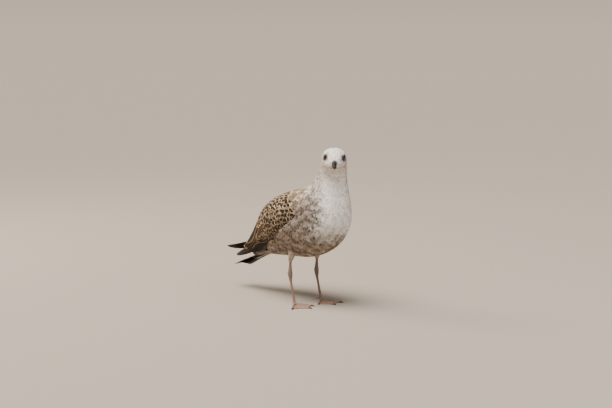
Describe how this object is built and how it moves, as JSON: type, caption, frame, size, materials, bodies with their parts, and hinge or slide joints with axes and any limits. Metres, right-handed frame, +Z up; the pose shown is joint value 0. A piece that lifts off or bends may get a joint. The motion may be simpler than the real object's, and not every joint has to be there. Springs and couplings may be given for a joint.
{
  "type": "yellow-legged gull, first winter, standing",
  "caption": "Life-size standing gull in brown and white young plumage, head turned to its right, wings folded, webbed feet flat on the floor.",
  "frame": {"origin": "on the floor, under the middle of the bird's box", "axes": "+Z up; the body faces -Y, and its left is +X; the head is turned to the bird's right"},
  "size_m": [0.1424, 0.4686, 0.3581],
  "materials": {
    "feathered_flesh": "soft white plumage with grey-brown streaks over flesh",
    "body_plumage": "soft plumage, mottled brown and white",
    "wing_plumage": "brown feathers with pale notched edges",
    "flight_feathers": "sleek blackish feathers with a slight sheen",
    "bill_horn": "satin blackish horn, paler at the base",
    "eye": "wet dark brown",
    "bare_skin": "scaly dull pink skin",
    "claw_horn": "satin black horn"
  },
  "bodies": {
    "root": {"head": "feathered_flesh", "neck": "feathered_flesh", "trunk": "feathered_flesh", "rump": "body_plumage", "thigh_left": "body_plumage", "thigh_right": "body_plumage", "wing_left_coverts": "wing_plumage", "wing_left_tertials": "wing_plumage", "wing_right_coverts": "wing_plumage", "wing_right_tertials": "wing_plumage", "wing_left_primaries": "flight_feathers", "wing_right_primaries": "flight_feathers", "tail": "flight_feathers", "bill_upper": "bill_horn", "bill_lower": "bill_horn", "eye_left": "eye", "eye_right": "eye", "leg_left": "bare_skin", "leg_right": "bare_skin", "foot_left": "bare_skin", "foot_right": "bare_skin", "claw_left_inner": "claw_horn", "claw_left_middle": "claw_horn", "claw_left_outer": "claw_horn", "claw_right_inner": "claw_horn", "claw_right_middle": "claw_horn", "claw_right_outer": "claw_horn"}
  },
  "joints": []
}
